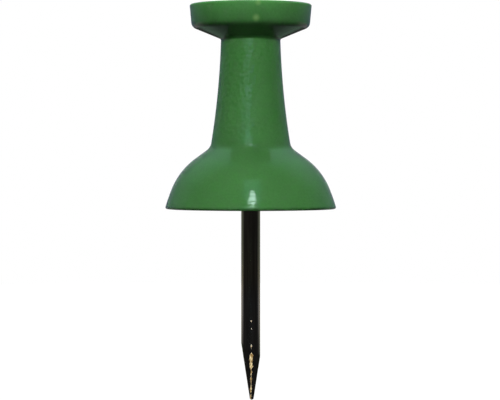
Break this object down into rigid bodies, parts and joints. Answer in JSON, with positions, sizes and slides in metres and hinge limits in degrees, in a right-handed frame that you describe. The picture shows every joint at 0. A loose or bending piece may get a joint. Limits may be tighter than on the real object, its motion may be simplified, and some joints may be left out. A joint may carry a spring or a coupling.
{
  "type": "push pin",
  "caption": "Push pin with a flared cap, a waisted neck and a bell skirt moulded in plastic round a pointed steel needle, for pinning paper to a board.",
  "frame": {"origin": "on the needle's axis, in the plane of the seat under the skirt, where the pin meets the board", "axes": "+Z along the needle's axis from the point towards the cap; X and Y are free, because the pin is round"},
  "size_m": [0.01, 0.01, 0.0233],
  "materials": {
    "green_plastic": "opaque mid green, moulded, half gloss",
    "dark_steel": "drawn and darkened steel wire, polished, with warm bare metal where the point is ground"
  },
  "bodies": {
    "root": {"moulded_head": "green_plastic", "steel_needle": "dark_steel"}
  },
  "joints": []
}
